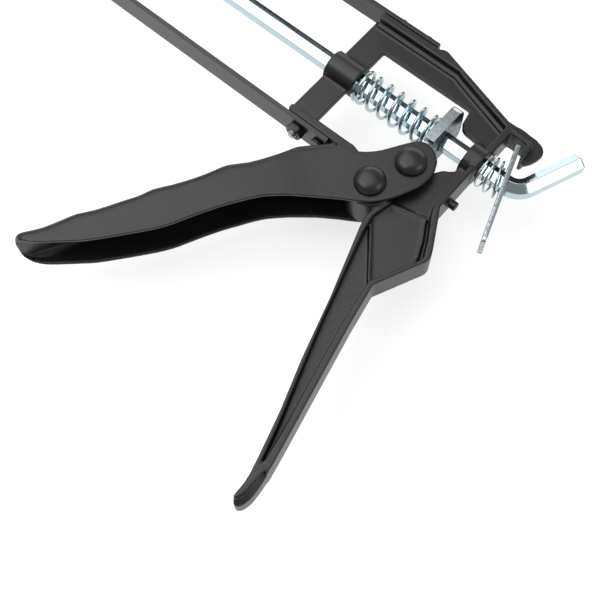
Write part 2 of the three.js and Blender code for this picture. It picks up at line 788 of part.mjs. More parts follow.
function spring(curve, wire, steps) {
  const section = [];
  for (let i = 0; i < 6; i += 1) {
    const turn = rad(i * 60);
    section.push(new THREE.Vector2((wire / 2) * Math.cos(turn), (wire / 2) * Math.sin(turn)));
  }
  const shape = new THREE.Shape(section);
  const settings = { steps, bevelEnabled: false, extrudePath: curve };
  return solid(new THREE.ExtrudeGeometry(shape, settings));
}
const mainCoil = new Coil({
  radius: (MAIN_SPRING_OD - MAIN_SPRING_WIRE) / 2,
  from: FRONT_BOSS_X[1] + MAIN_SPRING_CLEAR,
  to: DRIVE_PLATE_X[0] - MAIN_SPRING_CLEAR,
  closedTurns: MAIN_SPRING_CLOSED_TURNS,
  activeTurns: MAIN_SPRING_ACTIVE_TURNS,
  wire: MAIN_SPRING_WIRE,
  phase: MAIN_SPRING_PHASE,
});
piece("main_spring", spring(mainCoil, MAIN_SPRING_WIRE, 104), ZINC);
const leverTan = Math.tan(rad(LEVER_LEAN_DEG));
const leverAtAxis = LEVER_TOP[0] + LEVER_TOP[1] * leverTan;
const releaseCoil = new Coil({
  radius: (RELEASE_SPRING_OD - RELEASE_SPRING_WIRE) / 2,
  from: POST_X[1] + GAP + RELEASE_SPRING_WIRE / 2,
  to: leverAtAxis - RELEASE_SPRING_CLEAR,
  closedTurns: RELEASE_SPRING_CLOSED_TURNS,
  activeTurns: RELEASE_SPRING_ACTIVE_TURNS,
  wire: RELEASE_SPRING_WIRE,
  phase: RELEASE_SPRING_PHASE,
  lean: leverTan,
});
piece("release_spring", spring(releaseCoil, RELEASE_SPRING_WIRE, 60), ZINC);

// ---- release lever: leaning plate with a hole for the rod ----
function releaseLever() {
  const face = [
    [-LEVER_HALF, -0.6],
    [-LEVER_HALF + 0.6, 0],
    [LEVER_HALF - 0.6, 0],
    [LEVER_HALF, -0.6],
    [LEVER_HALF, -LEVER_LENGTH + 2.6],
    [LEVER_HALF - 0.8, -LEVER_LENGTH + 0.7],
    [LEVER_HALF - 2.6, -LEVER_LENGTH],
    [-LEVER_HALF + 2.6, -LEVER_LENGTH],
    [-LEVER_HALF + 0.8, -LEVER_LENGTH + 0.7],
    [-LEVER_HALF, -LEVER_LENGTH + 2.6],
  ];
  const holeSide = LEVER_HOLE_WIDTH / 2;
  const holeTop = -LEVER_HOLE_AT + LEVER_HOLE_LENGTH / 2;
  const holeBottom = holeTop - LEVER_HOLE_LENGTH;
  const hole = [
    [-holeSide, holeBottom],
    [holeSide, holeBottom],
    [holeSide, holeTop],
    [-holeSide, holeTop],
  ];
  const plate = cut(evenSlab(face, LEVER_THICKNESS / 2), evenSlab(hole, LEVER_THICKNESS));
  const upright = plate.rotate([0, 90, 0]);
  return upright.rotate([0, 0, LEVER_LEAN_DEG]).translate([LEVER_TOP[0], LEVER_TOP[1], 0]);
}
piece("release_lever", releaseLever(), ZINC);

// ---- hexagonal push rod ----
function pushRod() {
  const outline = [];
  for (let i = 0; i < 6; i += 1) {
    const turn = rad(i * 60 + 90);
    outline.push([HEX_CORNER * Math.cos(turn), HEX_CORNER * Math.sin(turn)]);
  }
  const rings = [];
  const ringAt = (x, y, turn, scale) => {
    const nx = -Math.sin(turn);
    const ny = Math.cos(turn);
    rings.push(outline.map(([a, b]) => [x + nx * a * scale, y + ny * a * scale, b * scale]));
  };
  ringAt(ROD_FRONT_X, 0, 0, 1 - ROD_CHAMFER / HEX_CORNER);
  ringAt(ROD_FRONT_X + ROD_CHAMFER, 0, 0, 1);
  const steps = 12;
  for (let i = 0; i <= steps; i += 1) {
    const turn = rad((ROD_BEND_DEG * i) / steps);
    const x = ROD_BEND_X + ROD_BEND_RADIUS * Math.sin(turn);
    ringAt(x, ROD_BEND_RADIUS * (1 - Math.cos(turn)), turn, 1);
  }
  const turn = rad(ROD_BEND_DEG);
  const bendX = ROD_BEND_X + ROD_BEND_RADIUS * Math.sin(turn);
  const bendY = ROD_BEND_RADIUS * (1 - Math.cos(turn));
  const at = (length, scale) => {
    ringAt(bendX + length * Math.cos(turn), bendY + length * Math.sin(turn), turn, scale);
  };
  at(ROD_TAIL_LENGTH - ROD_CHAMFER, 1);
  at(ROD_TAIL_LENGTH, 1 - ROD_CHAMFER / HEX_CORNER);
  return loft(rings, outline);
}
piece("push_rod", pushRod(), ZINC);

// ---- pusher disc, its washer and the nut on the front end of the rod ----
function pusherDisc() {
  const [front, back] = PUSHER_X;
  const flatRadius = PUSHER_RADIUS - PUSHER_RIM - PUSHER_SLOPE;
  const profile = [
    [BORE_RADIUS, back],
    [BORE_RADIUS, back - PUSHER_WALL],
    [flatRadius, back - PUSHER_WALL],
    [PUSHER_RADIUS - PUSHER_RIM, front],
    [PUSHER_RADIUS, front + 0.6],
    [PUSHER_RADIUS, front + PUSHER_RIM],
    [flatRadius + 0.6, back],
    [BORE_RADIUS, back],
  ];
  const points = profile.map(([r, x]) => new THREE.Vector2(r, x));
  return new THREE.LatheGeometry(points, 48).rotateZ(-Math.PI / 2);
}
piece("pusher_disc", solid(pusherDisc()), ZINC);
const washerX = PUSHER_X[1] + GAP;
const washer = cut(
  bar("x", [0, 0], WASHER_RADIUS, washerX, washerX + WASHER_THICKNESS, 32),
  rodBore(washerX - 1, washerX + WASHER_THICKNESS + 1),
);
piece("pusher_washer", washer, GREY_STEEL);
const nutBack = PUSHER_X[1] - PUSHER_WALL - GAP;
const nutFront = nutBack - ROD_NUT_HEIGHT;
const endNut = bar("x", [0, 0], ROD_NUT_CORNER, nutFront, nutBack, 6);
piece("rod_nut", cut(endNut, rodBore(nutFront - 1, nutBack + 1)), GREY_STEEL);

// ---- part frame: centre of the bounding box's base ----
const box = new THREE.Box3().setFromObject(gun);
const middle = box.getCenter(new THREE.Vector3());
gun.position.set(-middle.x, -middle.y, -box.min.z);

export default group;
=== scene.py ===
"""Looks for the caulking gun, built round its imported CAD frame.

Everything is in metres in the row frame: +X towards the rod's bent tail, +Y towards the upper
strap, +Z towards the gun's left side, up as it lies. Shapes are drawn in millimetres in the
drawing frame, whose origin is on the rod's axis at the front boss, and put in place by at().
"""

import json
import math

import bmesh
import bpy
import numpy as np
from mathutils import Matrix, Vector

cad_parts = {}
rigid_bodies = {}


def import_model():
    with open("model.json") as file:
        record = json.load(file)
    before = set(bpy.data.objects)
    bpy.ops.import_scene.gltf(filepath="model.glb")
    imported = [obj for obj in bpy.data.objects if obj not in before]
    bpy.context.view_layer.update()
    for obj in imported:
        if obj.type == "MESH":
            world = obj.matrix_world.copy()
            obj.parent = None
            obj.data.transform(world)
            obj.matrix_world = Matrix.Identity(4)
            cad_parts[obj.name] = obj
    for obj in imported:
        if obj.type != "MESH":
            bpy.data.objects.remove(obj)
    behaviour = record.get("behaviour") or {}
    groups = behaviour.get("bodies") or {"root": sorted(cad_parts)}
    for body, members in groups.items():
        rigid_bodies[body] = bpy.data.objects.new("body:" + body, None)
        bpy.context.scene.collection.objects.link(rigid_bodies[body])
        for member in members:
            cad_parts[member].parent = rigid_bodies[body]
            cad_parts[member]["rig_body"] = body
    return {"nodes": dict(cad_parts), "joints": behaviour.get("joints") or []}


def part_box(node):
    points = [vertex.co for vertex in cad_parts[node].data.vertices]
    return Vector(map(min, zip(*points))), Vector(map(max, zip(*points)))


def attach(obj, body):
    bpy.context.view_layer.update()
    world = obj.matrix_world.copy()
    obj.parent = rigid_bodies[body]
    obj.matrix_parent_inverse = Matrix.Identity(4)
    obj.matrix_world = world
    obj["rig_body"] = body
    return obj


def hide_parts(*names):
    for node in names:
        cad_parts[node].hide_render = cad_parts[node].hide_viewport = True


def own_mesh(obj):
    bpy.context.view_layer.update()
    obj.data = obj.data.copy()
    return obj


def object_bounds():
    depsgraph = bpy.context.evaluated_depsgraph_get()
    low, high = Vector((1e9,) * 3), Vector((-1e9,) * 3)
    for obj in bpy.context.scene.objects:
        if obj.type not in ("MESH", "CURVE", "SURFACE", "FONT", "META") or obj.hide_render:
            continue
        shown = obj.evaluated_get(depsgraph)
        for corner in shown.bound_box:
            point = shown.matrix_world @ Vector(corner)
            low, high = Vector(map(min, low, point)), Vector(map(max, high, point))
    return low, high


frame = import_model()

NODES = frame["nodes"]
JOINTS = {joint["name"]: joint for joint in frame["joints"]}
CAD_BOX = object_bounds()
MM = 0.001
PIVOT = (49.8, -36.9, 0)
ORIGIN = Vector(JOINTS["trigger_pivot"]["pos_m"]) - Vector(PIVOT) * MM
FLOOR_Z = CAD_BOX[0].z
ROD_BORE = 4.34


def at(x, y, z):
    """A point of the drawing frame in the row frame."""
    return ORIGIN + Vector((x, y, z)) * MM


def box_mm(node):
    """A CAD node's lowest and highest corners in the drawing frame, in millimetres."""
    low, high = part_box(node)
    return (low - ORIGIN) / MM, (high - ORIGIN) / MM


# ---- materials ----
# Where the mix node keeps its two colours and their mixture among its sockets.
COLOR_INPUTS = (6, 7)
COLOR_OUTPUT = 2


def shade(color, factor):
    """A colour made lighter or darker by a factor."""
    return tuple(channel * factor for channel in color)


class Finish:
    """A material with short calls for its nodes. Textures run on object coordinates, in metres."""

    def __init__(self, name, color, roughness, metallic):
        self.material = bpy.data.materials.new(name)
        self.material.use_nodes = True
        self.tree = self.material.node_tree
        self.surface = self.tree.nodes["Principled BSDF"]
        self.surface.inputs["Base Color"].default_value = (*color, 1)
        self.surface.inputs["Roughness"].default_value = roughness
        self.surface.inputs["Metallic"].default_value = metallic
        self.place = self.add("ShaderNodeTexCoord").outputs["Object"]

    def add(self, kind, **settings):
        node = self.tree.nodes.new(kind)
        for key, value in settings.items():
            setattr(node, key, value)
        return node

    def link(self, source, node, socket):
        self.tree.links.new(source, node.inputs[socket])

    def noise(self, scale, detail=3, stretch=(1, 1, 1)):
        """Noise with about scale features a metre, closer together by stretch along each axis."""
        mapping = self.add("ShaderNodeMapping")
        mapping.inputs["Scale"].default_value = stretch
        self.link(self.place, mapping, "Vector")
        texture = self.add("ShaderNodeTexNoise")
        texture.inputs["Scale"].default_value = scale
        texture.inputs["Detail"].default_value = detail
        self.link(mapping.outputs["Vector"], texture, "Vector")
        return texture.outputs["Fac"]

    def spread(self, source, from_range, to_range):
        """source moved from one range of values to another."""
        node = self.add("ShaderNodeMapRange", clamp=True)
        for socket, value in zip(("From Min", "From Max"), from_range):
            node.inputs[socket].default_value = value
        for socket, value in zip(("To Min", "To Max"), to_range):
            node.inputs[socket].default_value = value
        self.link(source, node, "Value")
        return node.outputs["Result"]

    def mix(self, share, first, second):
        """first where share is 0, and second where it is 1: colours, or sockets that give them."""
        node = self.add("ShaderNodeMix", data_type="RGBA")
        self.link(share, node, "Factor")
        for socket, value in zip(COLOR_INPUTS, (first, second)):
            if isinstance(value, tuple):
                node.inputs[socket].default_value = (*value, 1)
            else:
                self.link(value, node, socket)
        return node.outputs[COLOR_OUTPUT]

    def color(self, source):
        self.link(source, self.surface, "Base Color")

    def roughness(self, source):
        self.link(source, self.surface, "Roughness")

    def bump(self, height, depth, strength=1.0, under=None):
        """Relief of the given depth in metres, on top of an earlier relief."""
        node = self.add("ShaderNodeBump")
        node.inputs["Distance"].default_value = depth
        node.inputs["Strength"].default_value = strength
        self.link(height, node, "Height")
        if under is not None:
            self.link(under, node, "Normal")
        self.link(node.outputs["Normal"], self.surface, "Normal")
        return node.outputs["Normal"]


def black_paint(name, color, roughness):
    """Satin black powder coat: fine grain, faint clouding and edges rubbed a little lighter."""
    finish = Finish(name, color, roughness, 0.0)
    clouds = finish.spread(finish.noise(70, 4), (0.3, 0.7), (0, 1))
    painted = finish.mix(clouds, color, shade(color, 1.5))
    edges = finish.add("ShaderNodeNewGeometry").outputs["Pointiness"]
    worn = finish.spread(edges, (0.53, 0.66), (0, 1))
    finish.color(finish.mix(worn, painted, shade(color, 2.6)))
    grain = finish.noise(1500, 2)
    finish.roughness(finish.spread(grain, (0.3, 0.7), (roughness - 0.05, roughness + 0.08)))
    waves = finish.bump(finish.noise(420, 2), 0.00012, 0.35)
    finish.bump(grain, 0.00006, 0.55, waves)
    finish.surface.inputs["Specular IOR Level"].default_value = 0.55
    return finish.material


def zinc_plate(name, color, roughness, drawn):
    """Bright zinc plating: bluish with warm patches and fine lines. drawn is how much closer
    together the lines come along each axis."""
    finish = Finish(name, color, roughness, 1.0)
    patches = finish.spread(finish.noise(55, 3), (0.35, 0.65), (0, 1))
    warm = (color[0] * 1.06, color[1] * 1.01, color[2] * 0.93)
    tinted = finish.mix(patches, color, warm)
    lines = finish.noise(120, 4, drawn)
    deep = finish.spread(lines, (0.55, 0.8), (0, 1))
    finish.color(finish.mix(deep, tinted, shade(color, 0.8)))
    finish.roughness(finish.spread(lines, (0.3, 0.7), (roughness - 0.05, roughness + 0.1)))
    drawn_lines = finish.bump(lines, 0.00002, 0.5)
    finish.bump(finish.noise(900, 2), 0.00002, 0.4, drawn_lines)
    return finish.material


def scuffed_zinc(name, color, roughness):
    """Zinc plating on pressed steel, its surface marked with small dull scuffs."""
    finish = Finish(name, color, roughness, 1.0)
    patches = finish.spread(finish.noise(90, 3), (0.35, 0.65), (0, 1))
    tinted = finish.mix(patches, color, shade(color, 1.12))
    blotches = finish.noise(700, 5, (1, 1, 1.6))
    scuffs = finish.spread(blotches, (0.53, 0.6), (0, 1))
    finish.color(finish.mix(scuffs, tinted, shade(color, 0.66)))
    finish.roughness(finish.spread(scuffs, (0, 1), (roughness, roughness + 0.2)))
    finish.bump(blotches, 0.00006, 0.5)
    return finish.material


ALONG_X = (0.6, 14, 14)
EVEN = (6, 6, 6)
CAST_PAINT = black_paint("cast_paint", (0.0085, 0.0075, 0.0075), 0.36)
STEEL_PAINT = black_paint("steel_paint", (0.0095, 0.0085, 0.0088), 0.31)
ROD_ZINC = zinc_plate("rod_zinc", (0.49, 0.60, 0.67), 0.1, ALONG_X)
PLATE_ZINC = scuffed_zinc("plate_zinc", (0.46, 0.51, 0.54), 0.2)
# A much darker copy of the plate zinc, with its scuffs: painted shade for the drive plate's broad
# faces.
PAINTED_SHADE_ZINC = scuffed_zinc("plate_zinc_painted_shade", (0.13, 0.15, 0.165), 0.3)
SPRING_ZINC = zinc_plate("spring_zinc", (0.46, 0.57, 0.62), 0.12, EVEN)
GREY_STEEL = zinc_plate("grey_steel", (0.42, 0.46, 0.49), 0.3, EVEN)


# ---- mesh helpers ----
# What turns Z onto each axis of the drawing.
TURNS = {
    "x": Matrix.Rotation(math.radians(90), 3, "Y"),
    "y": Matrix.Rotation(math.radians(-90), 3, "X"),
    "z": Matrix.Identity(3),
}
WELD_DISTANCE = 1e-6
FLAT_ANGLE_DEG = 0.5
BEVEL_ANGLE_DEG = 38
BEVEL_SEGMENTS = 3
FLAT_WEIGHT = 80


def new_object(name, vertices, faces):
    mesh = bpy.data.meshes.new(name)
    mesh.from_pydata([tuple(v) for v in vertices], [], faces)
    mesh.update()
    return link(name, mesh)


def link(name, mesh):
    made = bpy.data.objects.new(name, mesh)
    bpy.context.scene.collection.objects.link(made)
    return made


def bake(made):
    """The object's modifiers, worked into its mesh."""
    graph = bpy.context.evaluated_depsgraph_get()
    mesh = bpy.data.meshes.new_from_object(made.evaluated_get(graph))
    made.modifiers.clear()
    made.data = mesh
    return made


def copy_of(node, name):
    """A CAD node's solid as a new welded mesh."""
    cad = bmesh.new()
    cad.from_mesh(NODES[node].data)
    bmesh.ops.remove_doubles(cad, verts=cad.verts, dist=WELD_DISTANCE)
    mesh = bpy.data.meshes.new(name)
    cad.to_mesh(mesh)
    cad.free()
    return link(name, mesh)


def relax(mesh, fill, ease, passes, where=None):
    """Moves each point towards its neighbours: hollows by the share fill, ridges by ease. where
    gives each point's own share of that from its place, and everything moves alike without it."""
    count = len(mesh.vertices)
    ends = np.empty(len(mesh.edges) * 2, np.int32)
    mesh.edges.foreach_get("vertices", ends)
    first, second = ends[0::2], ends[1::2]
    degree = np.bincount(ends, minlength=count)[:, None]
    points = np.empty(count * 3, np.float32)
    mesh.vertices.foreach_get("co", points)
    points = points.reshape(-1, 3).astype(float)
    normals = np.empty(count * 3, np.float32)
    share = np.ones(count) if where is None else where(points)
    for _ in range(passes):
        mesh.vertex_normals.foreach_get("vector", normals)
        total = np.zeros_like(points)
        for axis in range(3):
            total[:, axis] += np.bincount(first, points[second, axis], count)
            total[:, axis] += np.bincount(second, points[first, axis], count)
        pull = total / degree - points
        hollow = (pull * normals.reshape(-1, 3)).sum(1) > 0
        points += pull * (np.where(hollow, fill, ease) * share)[:, None]
        mesh.vertices.foreach_set("co", points.astype(np.float32).ravel())
        mesh.update()


def skin(node, name, voxel, fill, ease, passes):
    """A CAD node's solid with rounded edges and filled inside corners, as one fine mesh."""
    made = copy_of(node, name)
    remesh = made.modifiers.new("remesh", "REMESH")
    remesh.mode = "VOXEL"
    remesh.voxel_size = voxel * MM
    bake(made)
    relax(made.data, fill, ease, passes)
    made.data.shade_smooth()
    return made


def weigh_normals(made):
    """Keeps flats flat beside their rounded edges."""
    made.data.shade_smooth()
    weigh = made.modifiers.new("normals", "WEIGHTED_NORMAL")
    weigh.weight = FLAT_WEIGHT
    weigh.keep_sharp = True
    return made


def bevelled(node, name, width):
    """A CAD node's solid with its edges rounded to width, in millimetres."""
    made = copy_of(node, name)
    plain = bmesh.new()
    plain.from_mesh(made.data)
    flat = math.radians(FLAT_ANGLE_DEG)
    bmesh.ops.dissolve_limit(plain, angle_limit=flat, verts=plain.verts, edges=plain.edges)
    plain.to_mesh(made.data)
    plain.free()
    bevel = made.modifiers.new("bevel", "BEVEL")
    bevel.width = width * MM
    bevel.segments = BEVEL_SEGMENTS
    bevel.limit_method = "ANGLE"
    bevel.angle_limit = math.radians(BEVEL_ANGLE_DEG)
    bake(made)
    return weigh_normals(made)


def turned(name, profile, axis, centre, sides=72):
    """A profile of (radius, distance along the axis) pairs, in millimetres, turned about the
    axis x, y or z through centre. It starts and ends on the axis, or it is a closed ring."""
    on_axis = profile[0][0] == 0
    vertices, faces, rows = [], [], []
    for radius, along in profile:
        row = []
        for i in range(1 if radius == 0 else sides):
            angle = 2 * math.pi * i / sides
            row.append(len(vertices))
            vertices.append((radius * math.cos(angle), radius * math.sin(angle), along))
        rows.append(row)
    pairs = list(zip(rows, rows[1:]))
    if not on_axis:
        pairs.append((rows[-1], rows[0]))
    for low, high in pairs:
        for i in range(sides):
            a, b = low[i % len(low)], low[(i + 1) % len(low)]
            c, d = high[(i + 1) % len(high)], high[i % len(high)]
            corners = list(dict.fromkeys((a, b, c, d)))
            if len(corners) > 2:
                faces.append(corners)
    middle = Vector(centre)
    placed = [at(*(middle + TURNS[axis] @ Vector(v))) for v in vertices]
    return outward(new_object(name, placed, faces))


def outward(made):
    """The object's faces turned to point out of it."""
    shell = bmesh.new()
    shell.from_mesh(made.data)
    bmesh.ops.recalc_face_normals(shell, faces=shell.faces)
    shell.to_mesh(made.data)
    shell.free()
    return weigh_normals(made)


def corner(centre, radius, start, end, steps=4):
    """Points of an arc in a profile, its angles in degrees."""
    points = []
    for i in range(steps + 1):
        angle = math.radians(start + (end - start) * i / steps)
        points.append((centre[0] + radius * math.cos(angle), centre[1] + radius * math.sin(angle)))
    return points


def swept(name, rings):
    """A closed skin through rings of points in the drawing frame, with a flat cap at each end."""
    count = len(rings[0])
    vertices = [at(*p) for ring in rings for p in ring]
    faces = []
    for i in range(len(rings) - 1):
        for j in range(count):
            a, b = i * count + j, i * count + (j + 1) % count
            faces.append((a, b, b + count, a + count))
    faces.append(tuple(reversed(range(count))))
    faces.append(tuple(range((len(rings) - 1) * count, len(rings) * count)))
    return outward(new_object(name, vertices, faces))


def finished(made, node, material):
    """made stands for a CAD node, on the same body, in the given finish."""
    made.data.materials.clear()
    made.data.materials.append(material)
    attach(made, NODES[node]["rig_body"])
    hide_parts(node)
    return made


# ---- casting, trigger and front plate ----
HANDLE_BULB_Y = (-147, -153)
BULB_EASE = 0.4
BULB_PASSES = 24


def near_tip(points):
    """How far each point is into the round end of the handle, from 0 to 1."""
    y = (points[:, 1] - ORIGIN.y) / MM
    begins, full = HANDLE_BULB_Y
    return np.clip((begins - y) / (begins - full), 0, 1)


def painted_skins():
    casting = skin("body_casting", "casting_skin", voxel=0.36, fill=0.5, ease=0.12, passes=7)
    relax(casting.data, BULB_EASE, BULB_EASE, BULB_PASSES, near_tip)
    finished(casting, "body_casting", CAST_PAINT)
    trigger = skin("trigger", "trigger_skin", voxel=0.34, fill=0.45, ease=0.25, passes=7)
    finished(trigger, "trigger", CAST_PAINT)
    plate = skin("front_plate", "front_plate_skin", voxel=0.45, fill=0.4, ease=0.3, passes=5)
    finished(plate, "front_plate", STEEL_PAINT)


# ---- flat steel: straps, drive plate and release lever ----
SQUARE_TO_ROD = 0.8


def paint_shade_on_broad_faces(made, material):
    """The faces square to the rod get a much darker, rougher zinc as painted shade, as if they lay
    in shadow; the cut edges keep the bright zinc.
    """
    made.data.materials.append(material)
    for polygon in made.data.polygons:
        if abs(polygon.normal.x) > SQUARE_TO_ROD:
            polygon.material_index = 1


def flat_pieces():
    for node in ("upper_strap", "lower_strap"):
        strap = bevelled(node, f"{node}_rounded", width=0.35)
        finished(strap, node, STEEL_PAINT)
    plate = bevelled("drive_plate", "drive_plate_rounded", width=0.4)
    finished(plate, "drive_plate", PLATE_ZINC)
    # The plate's broad faces are painted darker, as painted shade.
    paint_shade_on_broad_faces(plate, PAINTED_SHADE_ZINC)
    lever = bevelled("release_lever", "release_lever_rounded", width=0.45)
    finished(lever, "release_lever", PLATE_ZINC)


# ---- rivets, pins, stud and nuts ----
RIVET_RIM = 0.35
DOME_STEPS = 12
DOME_FULLNESS = 0.9


def dome(radius, height, base):
    """A rivet head's profile from its seat at base out to its crown."""
    profile = [(radius - 0.25, base), (radius, base + 0.2)]
    for i in range(DOME_STEPS):
        angle = math.radians(90 * i / DOME_STEPS)
        rise = RIVET_RIM + (height - RIVET_RIM) * math.sin(angle)
        profile.append((radius * math.cos(angle) ** DOME_FULLNESS, base + rise))
    profile.append((0, base + height))
    return profile


def two_headed_rivet(node, axis, shank, head_height):
    """A rivet with a domed head at each end of the node's box, turned about axis."""
    low, high = box_mm(node)
    index = "xyz".index(axis)
    radius = (high[(index + 1) % 3] - low[(index + 1) % 3]) / 2
    centre = (low + high) / 2
    seat = (high[index] - low[index]) / 2 - head_height
    upper = [(shank, seat)] + dome(radius, head_height, seat)
    lower = [(r, -along) for r, along in reversed(upper)]
    made = turned(f"{node}_turned", lower + upper, axis, centre)
    finished(made, node, STEEL_PAINT)


def strap_pin(node):
    """A plain pin through the upper strap, its free end rounded over."""
    low, high = box_mm(node)
    length = high.y - low.y
    radius, round_edge, rim = 1.9, 0.8, 0.15
    profile = [(0, 0), (radius, 0)]
    profile += corner((radius - round_edge, length - round_edge - rim), round_edge, 0, 70)
    profile += [(1.2, length - rim), (0.5, length - 0.02), (0, length)]
    pin = turned(f"{node}_turned", profile, "y", ((low.x + high.x) / 2, low.y, 0))
    finished(pin, node, STEEL_PAINT)


def low_rivet(node):
    """A rivet with one low head underneath and a plain shank above it."""
    low, high = box_mm(node)
    length = high.y - low.y
    radius, shank, head, edge = (high.x - low.x) / 2, 1.9, 1.2, 0.7
    profile = [(0, 0), (radius - edge - 0.2, 0.05)]
    profile += corner((radius - edge, edge), edge, -90, 0)
    profile += [(radius - 0.1, head), (shank, head), (shank, length), (0, length)]
    rivet = turned(f"{node}_turned", profile, "y", ((low.x + high.x) / 2, low.y, 0))
    finished(rivet, node, STEEL_PAINT)


LOWER_NUT_FLATS = 7.0
LOWER_NUT_BORE = 2.2
ROD_NUT_FLATS = 6.9 * math.sqrt(3)


def fasteners():
    for node in ("pivot_rivet", "drive_rivet"):
        two_headed_rivet(node, "z", shank=2.4, head_height=3.6)
    for node in ("front_rivet_upper", "front_rivet_lower"):
        two_headed_rivet(node, "x", shank=2.0, head_height=1.6)
    for node in ("upper_pin_1", "upper_pin_2"):
        strap_pin(node)
    low_rivet("lower_rivet")
    threaded_stud("lower_stud")
    lower_nut = hex_nut("lower_nut", "y", LOWER_NUT_FLATS, LOWER_NUT_BORE)
    finished(lower_nut, "lower_nut", STEEL_PAINT)
    rod_nut = hex_nut("rod_nut", "x", ROD_NUT_FLATS, ROD_BORE)
    finished(rod_nut, "rod_nut", GREY_STEEL)


THREAD_PITCH = 0.7
THREAD_DEPTH = 0.32
THREAD_SIDES = 48
RINGS_A_PITCH = 8
STUD_CHAMFER = 0.6
STUD_CHAMFER_SLOPE = 0.9


def threaded_stud(node):
    """A stud along Y with a helical thread, its free end chamfered."""
    low, high = box_mm(node)
    radius, length = (high.x - low.x) / 2, high.y - low.y
    x = (low.x + high.x) / 2
    steps = int(length / THREAD_PITCH * RINGS_A_PITCH)
    rings = []
    for i in range(steps + 1):
        along = length * i / steps
        chamfer = max(0.0, STUD_CHAMFER - along) * STUD_CHAMFER_SLOPE
        ring = []
        for j in range(THREAD_SIDES):
            turn = j / THREAD_SIDES
            phase = (along / THREAD_PITCH + turn) % 1
            cut = THREAD_DEPTH * (1 - abs(2 * phase - 1))
            r = radius - max(cut, chamfer)
            angle = 2 * math.pi * turn
            ring.append((x + r * math.cos(angle), low.y + along, r * math.sin(angle)))
        rings.append(ring)
    finished(swept(f"{node}_threaded", rings), node, GREY_STEEL)


NUT_SIDES = 96
NUT_CONE_DEG = 30
NUT_FACE_SHARE = 0.96
BORE_CHAMFER = 0.35


def hex_nut(node, axis, across_flats, bore):
    """A nut with its corners chamfered by a cone on both faces, and its bore's edges too."""
    low, high = box_mm(node)
    index = "xyz".index(axis)
    half = (high[index] - low[index]) / 2
    centre = (low + high) / 2
    flat = across_flats / 2
    face_radius = flat * NUT_FACE_SHARE
    corner_at = 0 if axis == "y" else 30
    angles = [360 * i / NUT_SIDES for i in range(NUT_SIDES)]

    def edge_radius(angle):
        folded = (angle - corner_at + 30) % 60 - 30
        return flat / math.cos(math.radians(30 - abs(folded)))

    def ring(radius, along):
        return [(radius, along) for _ in angles]

    def outer(share, sign):
        row = []
        for angle in angles:
            r = face_radius + (edge_radius(angle) - face_radius) * share
            drop = max(0.0, r - face_radius) * math.tan(math.radians(NUT_CONE_DEG))
            row.append((r, sign * (half - drop)))
        return row

    rows = [ring(bore, BORE_CHAMFER - half), ring(bore + BORE_CHAMFER, -half)]
    rows += [outer(share, -1) for share in (0, 0.5, 1)]
    rows += [outer(share, 1) for share in (1, 0.5, 0)]
    rows += [ring(bore + BORE_CHAMFER, half), ring(bore, half - BORE_CHAMFER)]
    vertices = []
    for row in rows:
        for angle, (radius, along) in zip(angles, row):
            a = math.radians(angle)
            point = Vector((radius * math.cos(a), radius * math.sin(a), along))
            vertices.append(at(*(centre + TURNS[axis] @ point)))
    faces = []
    for i in range(len(rows)):
        near, far = i * NUT_SIDES, (i + 1) % len(rows) * NUT_SIDES
        for j in range(NUT_SIDES):
            k = (j + 1) % NUT_SIDES
            faces.append((near + j, near + k, far + k, far + j))
    return outward(new_object(f"{node}_chamfered", vertices, faces))


# ---- roller, washer and pusher disc ----
def ring_profile(inner, outer, from_at, to_at, edge):
    """A closed ring section with its four corners rounded to edge."""
    return (
        corner((inner + edge, from_at + edge), edge, 180, 270, 3)
        + corner((outer - edge, from_at + edge), edge, 270, 360, 3)
        + corner((outer - edge, to_at - edge), edge, 0, 90, 3)
        + corner((inner + edge, to_at - edge), edge, 90, 180, 3)
    )


ROLLER_BORE = 2.7
ROLLER_EDGE = 0.4
WASHER_EDGE = 0.3


def drive_roller():
    low, high = box_mm("drive_roller")
    centre = (low + high) / 2
    profile = ring_profile(ROLLER_BORE, (high.x - low.x) / 2, low.z, high.z, ROLLER_EDGE)
    made = turned("drive_roller_turned", profile, "z", (centre.x, centre.y, 0))
    finished(made, "drive_roller", GREY_STEEL)


def pusher_washer():
    low, high = box_mm("pusher_washer")
    profile = ring_profile(ROD_BORE, (high.y - low.y) / 2, low.x, high.x, WASHER_EDGE)
    made = turned("pusher_washer_turned", profile, "x", (0, 0, 0))
    finished(made, "pusher_washer", GREY_STEEL)


DISC_WALL = 1.5
DISC_RIM = 0.75
DISC_BEND = 2.4
DISC_CONE_DEG = 38
DISC_FLAT_INSET = 6.8


def pusher_disc():
    """A pressed dish: a flat middle, a conical wall and a rolled rim, with the hollow forward."""
    low, high = box_mm("pusher_disc")
    radius = (high.y - low.y) / 2
    bend = (radius - DISC_FLAT_INSET, high.x - DISC_BEND)
    rim = (radius - DISC_RIM, low.x + DISC_RIM)
    profile = [(ROD_BORE, high.x - DISC_WALL), (ROD_BORE, high.x)]
    profile += corner(bend, DISC_BEND, 90, DISC_CONE_DEG)
    profile += corner(rim, DISC_RIM, DISC_CONE_DEG, DISC_CONE_DEG - 180, 8)
    profile += corner(bend, DISC_BEND - DISC_WALL, DISC_CONE_DEG, 90)
    made = turned("pusher_disc_pressed", profile, "x", (0, 0, 0))
    finished(made, "pusher_disc", PLATE_ZINC)


# ---- push rod ----
ROD_FLATS = 7.0
ROD_EDGE = 0.3
ROD_END_CHAMFER = 0.9
ROD_END_SLOPE = 0.7
ROD_END_HOLD = 1.2
BEND_X = 87.9
BEND_RADIUS = 8.0
BEND_DEG = 68
BEND_STEPS = 40
TAIL = 23.4


